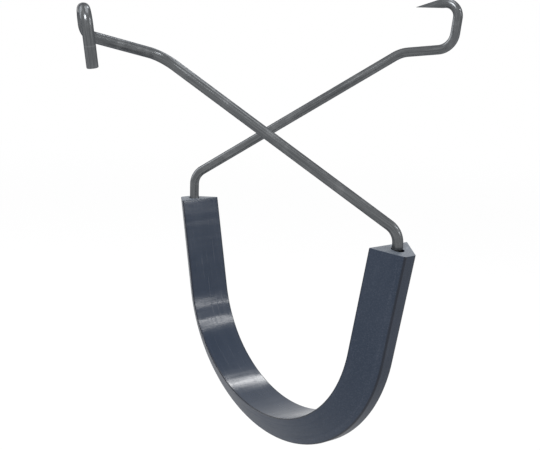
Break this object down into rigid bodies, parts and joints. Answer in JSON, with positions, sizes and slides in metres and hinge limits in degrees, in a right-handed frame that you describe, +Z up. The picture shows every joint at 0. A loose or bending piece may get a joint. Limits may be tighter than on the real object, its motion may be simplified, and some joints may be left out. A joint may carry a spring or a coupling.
{
  "type": "j hook cable support",
  "caption": "Plastic U-shaped cable saddle on one bent steel rod, whose two arms rise to hooks that hang over a bar along the cable run.",
  "frame": {"origin": "midway between the rod's centres at the two ends of the saddle", "axes": "+X across the U toward the near arm's end of the saddle, +Y along the cable run toward the far hook, +Z up"},
  "size_m": [0.2163, 0.2626, 0.2722],
  "materials": {
    "hanger_rod": "dull drawn steel",
    "saddle": "semi-gloss moulded plastic"
  },
  "bodies": {
    "root": {"hanger_rod": "hanger_rod", "saddle": "saddle"}
  },
  "joints": []
}
